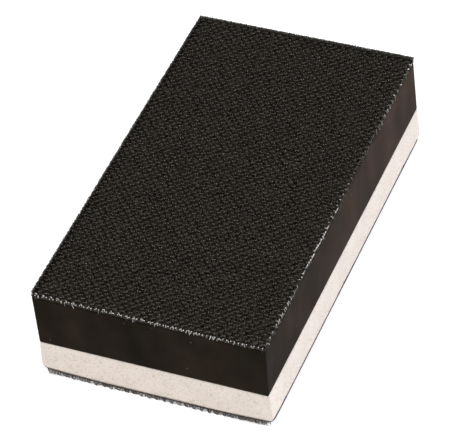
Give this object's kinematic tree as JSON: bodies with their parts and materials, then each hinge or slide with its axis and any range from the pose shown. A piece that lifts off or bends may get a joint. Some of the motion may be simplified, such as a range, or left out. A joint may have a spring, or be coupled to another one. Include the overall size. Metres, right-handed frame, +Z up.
{
  "type": "sanding block",
  "caption": "Double-sided hand sanding block: a firm foam slab laminated to a soft foam slab, with hook tape on both faces.",
  "frame": {"origin": "centre of the block's underside, on the surface that it lies on", "axes": "+X across the width, +Y along the length, +Z up through the layers, from the soft side to the firm side"},
  "size_m": [0.0712, 0.125, 0.033],
  "materials": {
    "hook_filament": "black nylon monofilament, semi-gloss, milky at its cut ends",
    "ground_cloth": "black woven multifilament",
    "tape_backing": "thin dark resin coat",
    "adhesive": "contact adhesive film, dark against the firm foam and milky against the soft foam",
    "firm_foam": "dense black closed-cell foam with smooth cut faces",
    "soft_foam": "warm white closed-cell foam with fine pores"
  },
  "bodies": {
    "root": {"soft_side_hooks": "hook_filament", "soft_side_cloth": "ground_cloth", "soft_side_backing": "tape_backing", "soft_side_adhesive": "adhesive", "soft_foam": "soft_foam", "laminating_adhesive": "adhesive", "firm_foam": "firm_foam", "firm_side_adhesive": "adhesive", "firm_side_backing": "tape_backing", "firm_side_cloth": "ground_cloth", "firm_side_hooks": "hook_filament"}
  },
  "joints": []
}
